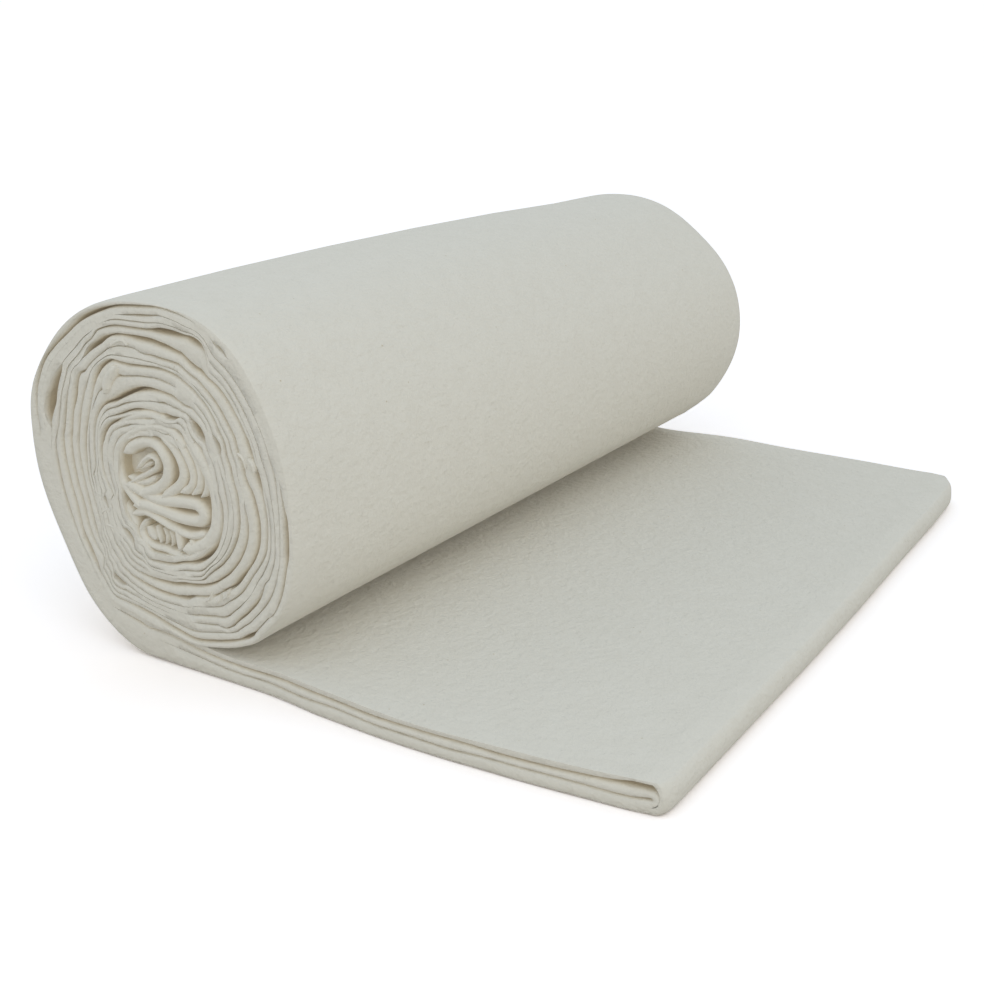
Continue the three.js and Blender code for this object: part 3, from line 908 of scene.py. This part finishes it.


# the felt's colour with painted shade in its crevices, a painted glow in its crevices and its height, from
# noise on the cloth's own coordinates
def feltGroup():
    group = bpy.data.node_groups.new("felted_cotton", "ShaderNodeTree")
    for name, value in feltLook.items():
        kind = "NodeSocketColor" if isinstance(value, tuple) else "NodeSocketFloat"
        group.interface.new_socket(name, in_out="INPUT", socket_type=kind)
    for name, kind in (("Color", "Color"), ("Painted Crevice Light", "Color"), ("Height", "Float")):
        group.interface.new_socket(name, in_out="OUTPUT", socket_type="NodeSocket" + kind)
    nodes, links = group.nodes, group.links
    into, out = nodes.new("NodeGroupInput"), nodes.new("NodeGroupOutput")
    place = nodes.new("ShaderNodeTexCoord").outputs["Object"]

    # noise over the cloth at one of the group's scales, finer along each axis by the stretch
    def noise(scaleName, detail, stretch=None):
        node = nodes.new("ShaderNodeTexNoise")
        node.inputs["Detail"].default_value = detail
        links.new(into.outputs[scaleName], node.inputs["Scale"])
        if stretch:
            mapping = nodes.new("ShaderNodeMapping")
            mapping.inputs["Scale"].default_value = stretch
            links.new(place, mapping.inputs["Vector"])
            links.new(mapping.outputs["Vector"], node.inputs["Vector"])
        else:
            links.new(place, node.inputs["Vector"])
        return node.outputs["Fac"]

    # 0 where a pattern starts to 1 where it is full, in a straight line
    def ramp(source, span):
        node = nodes.new("ShaderNodeMapRange")
        node.inputs["From Min"].default_value, node.inputs["From Max"].default_value = feltPattern[span]
        links.new(source, node.inputs["Value"])
        return node.outputs["Result"]

    # one sum of sockets and plain values
    def arithmetic(operation, *values):
        node = nodes.new("ShaderNodeMath")
        node.operation = operation
        for socket, value in zip(node.inputs, values):
            if isinstance(value, float):
                socket.default_value = value
            else:
                links.new(value, socket)
        return node.outputs["Value"]

    mottle = ramp(noise("Mottle Scale", feltPattern["mottleDetail"]), "mottle")
    flecks = nodes.new("ShaderNodeTexVoronoi")
    flecks.inputs["Scale"].default_value = feltPattern["fleckScale"]
    links.new(place, flecks.inputs["Vector"])
    rare = ramp(noise("Lump Scale", feltPattern["fleckDetail"]), "fleckRarity")
    chosen = arithmetic("MULTIPLY", ramp(flecks.outputs["Distance"], "fleckSize"), rare)
    crevice = nodes.new("ShaderNodeAttribute")
    crevice.attribute_name = "crevice"
    color = colorMix(group, mottle, into.outputs["Light"], into.outputs["Dark"])
    color = colorMix(group, chosen, color, into.outputs["Fleck"])
    # painted shade: deep between the layers the colour goes over to the warm brown
    color = colorMix(group, ramp(crevice.outputs["Fac"], "paintedShadeSpan"), color, into.outputs["Painted Crevice Shade"])
    links.new(color, out.inputs["Color"])
    # painted light: a little way in from its mouth, a crevice glows faintly
    glowing = ramp(crevice.outputs["Fac"], "paintedGlowSpan")
    links.new(colorMix(group, glowing, (0, 0, 0, 1), into.outputs["Painted Glow"]), out.inputs["Painted Crevice Light"])
    fibres = noise("Fibre Scale", feltPattern["reliefDetail"], feltPattern["fibreStretch"])
    lumps = noise("Lump Scale", feltPattern["reliefDetail"])
    links.new(arithmetic("MULTIPLY_ADD", fibres, feltPattern["fibreShare"], lumps), out.inputs["Height"])
    return group


felt, tree, shader = newMaterial("cotton_felt")
cotton = tree.nodes.new("ShaderNodeGroup")
cotton.node_tree = feltGroup()
for name, value in feltLook.items():
    cotton.inputs[name].default_value = value
for name, value in feltSurface.items():
    shader.inputs[name].default_value = value
relief = tree.nodes.new("ShaderNodeBump")
relief.inputs["Strength"].default_value = feltPattern["reliefStrength"]
relief.inputs["Distance"].default_value = feltPattern["reliefDepth"]
tree.links.new(cotton.outputs["Color"], shader.inputs["Base Color"])
# painted light: the crevice glow goes in as emission
tree.links.new(cotton.outputs["Painted Crevice Light"], shader.inputs["Emission Color"])
tree.links.new(cotton.outputs["Height"], relief.inputs["Height"])
tree.links.new(relief.outputs["Normal"], shader.inputs["Normal"])
print("felt")

for piece in (batting, core):
    piece.data.materials.append(felt)
    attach(piece, "root")
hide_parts("wound_roll", "loose_end")

# a pale floor and a soft white tent, cooler overhead and brighter and warmer towards the horizon, with a
# large light in front and a faint low sun
studio = {
    "floorHalf": 40.0,
    "floorDrop": 0.0002,
    "floorRoughness": 0.9,
    "floorSeen": (1.46, 1.37, 1.34, 1),
    "floorBounced": (0.63, 0.60, 0.555, 1),
    "overhead": (0.568, 0.66, 0.746, 1),
    "horizon": (0.98, 0.98, 0.96, 1),
    "keyPlace": (0.50, -0.80, 0.85),
    "keyTarget": (0, 0, 0.05),
    "keySize": 1.0,
    "keyPower": 1.6,
    "keyColor": (1.0, 0.99, 0.96),
    "sunPower": 0.08,
    "sunColor": (1.0, 0.86, 0.62),
    "sunSpread": 60,
    "sunTurn": (76, 0, 84),
}
floorMesh = bpy.data.meshes.new("floor")
half, drop = studio["floorHalf"], studio["floorDrop"]
corners = [(x * half, y * half, -drop) for x, y in ((-1, -1), (1, -1), (1, 1), (-1, 1))]
floorMesh.from_pydata(corners, [], [(0, 1, 2, 3)])
floor = addObject("floor", floorMesh)
# the floor looks white but throws back only part of its light on the cloth
white, whiteTree, whiteShader = newMaterial("floor_white")
whiteShader.inputs["Roughness"].default_value = studio["floorRoughness"]
seen = whiteTree.nodes.new("ShaderNodeLightPath").outputs["Is Camera Ray"]
floorColor = colorMix(whiteTree, seen, studio["floorBounced"], studio["floorSeen"])
whiteTree.links.new(floorColor, whiteShader.inputs["Base Color"])
floor.data.materials.append(white)

world = bpy.data.worlds.new("studio")
bpy.context.scene.world = world
world.use_nodes = True
sky = world.node_tree
direction = sky.nodes.new("ShaderNodeTexCoord")
parts = sky.nodes.new("ShaderNodeSeparateXYZ")
sky.links.new(direction.outputs["Generated"], parts.inputs["Vector"])
tent = colorMix(sky, parts.outputs["Z"], studio["horizon"], studio["overhead"])
sky.links.new(tent, sky.nodes["Background"].inputs["Color"])
sky.nodes["Background"].inputs["Strength"].default_value = 1.0

key = addObject("key", bpy.data.lights.new("key", "AREA"))
key.data.shape = "RECTANGLE"
key.data.size = key.data.size_y = studio["keySize"]
key.data.energy = studio["keyPower"]
key.data.color = studio["keyColor"]
key.location = studio["keyPlace"]
aimX, aimY, aimZ = np.array(studio["keyTarget"]) - np.array(studio["keyPlace"])
key.rotation_euler = (math.atan2(math.hypot(aimX, aimY), -aimZ), 0, math.atan2(-aimX, aimY))
sun = addObject("soft_sun", bpy.data.lights.new("soft_sun", "SUN"))
sun.data.energy = studio["sunPower"]
sun.data.color = studio["sunColor"]
sun.data.angle = math.radians(studio["sunSpread"])
sun.rotation_euler = [math.radians(angle) for angle in studio["sunTurn"]]
print("studio")

# the camera looks down on the roll's near end from its right, with its place given from the roll's axis
view = {"place": (0.5007, -0.7186, 0.3377), "down": 19.75, "turn": 32.31, "lens": 54.822335, "sensor": 36.0}
camera = addObject("camera", bpy.data.cameras.new("camera"))
camera.location = (axisX * mm + view["place"][0], *view["place"][1:])
camera.rotation_euler = (math.radians(90 - view["down"]), 0, math.radians(view["turn"]))
camera.data.lens = view["lens"]
camera.data.sensor_width = view["sensor"]
camera.data.clip_start = 0.01
bpy.context.scene.camera = camera
bpy.context.scene.view_settings.view_transform = "Standard"
